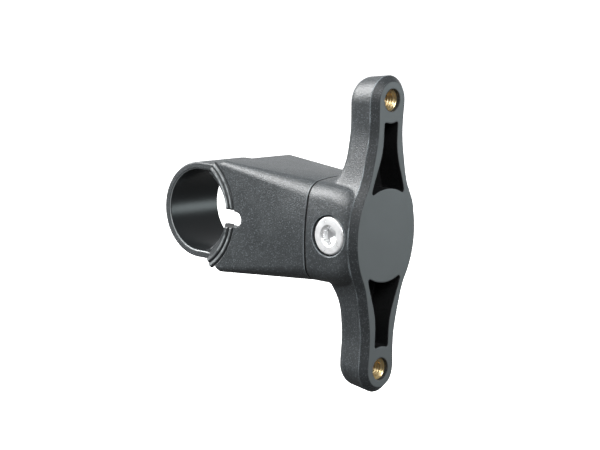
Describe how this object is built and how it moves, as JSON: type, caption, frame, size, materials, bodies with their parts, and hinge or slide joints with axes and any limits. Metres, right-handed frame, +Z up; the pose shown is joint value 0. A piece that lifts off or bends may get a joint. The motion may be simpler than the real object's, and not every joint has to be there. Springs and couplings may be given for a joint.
{
  "type": "bottle cage adapter",
  "caption": "Clamp-on adapter: a strap ring closes on a tube by a side screw and carries an upright plate with threaded seats for a bottle cage.",
  "frame": {"origin": "centre of the tube's bore in the strap ring", "axes": "+X from the tube toward the cage plate, +Y along the tube away from the screw's head, +Z up along the plate"},
  "size_m": [0.0649, 0.025, 0.0756],
  "materials": {
    "body_plastic": "fine spark-textured moulded nylon, dark charcoal",
    "plate_plastic": "spark-textured sides, smooth satin grey front",
    "strap_plastic": "semi-gloss black",
    "liner_rubber": "smooth satin",
    "insert_brass": "turned",
    "screw_steel": "bright plated",
    "washer_steel": "plain",
    "nut_steel": "plain",
    "block_alloy": "as cast",
    "rivet_steel": "plain"
  },
  "bodies": {
    "frame": {"clamp_body": "body_plastic", "saddle_liner_upper": "liner_rubber", "saddle_liner_lower": "liner_rubber", "cage_plate": "plate_plastic", "insert_upper": "insert_brass", "insert_lower": "insert_brass", "screw_washer": "washer_steel"},
    "screw": {"clamp_screw": "screw_steel"},
    "nut": {"taper_nut": "nut_steel"},
    "strap": {"clamp_strap": "strap_plastic", "draw_block": "block_alloy", "tail_rivet_upper_near": "rivet_steel", "tail_rivet_upper_far": "rivet_steel", "tail_rivet_lower_near": "rivet_steel", "tail_rivet_lower_far": "rivet_steel"}
  },
  "joints": [
    {"name": "screw_turn", "type": "hinge", "parent": "frame", "child": "screw", "pos_m": [0.0458, 0, 0], "axis": [0, 1, 0], "range_deg": [-1800, 0]},
    {"name": "nut_travel", "type": "slide", "parent": "frame", "child": "nut", "axis": [0, 1, 0], "range_m": [0, 0.004]},
    {"name": "strap_draw", "type": "slide", "parent": "frame", "child": "strap", "axis": [1, 0, 0], "range_m": [-0.002, 0]}
  ],
  "couplings": [
    {"joint": "nut_travel", "follows": "strap_draw", "ratio": -2},
    {"joint": "screw_turn", "follows": "strap_draw", "rad_per_m": 15708}
  ]
}
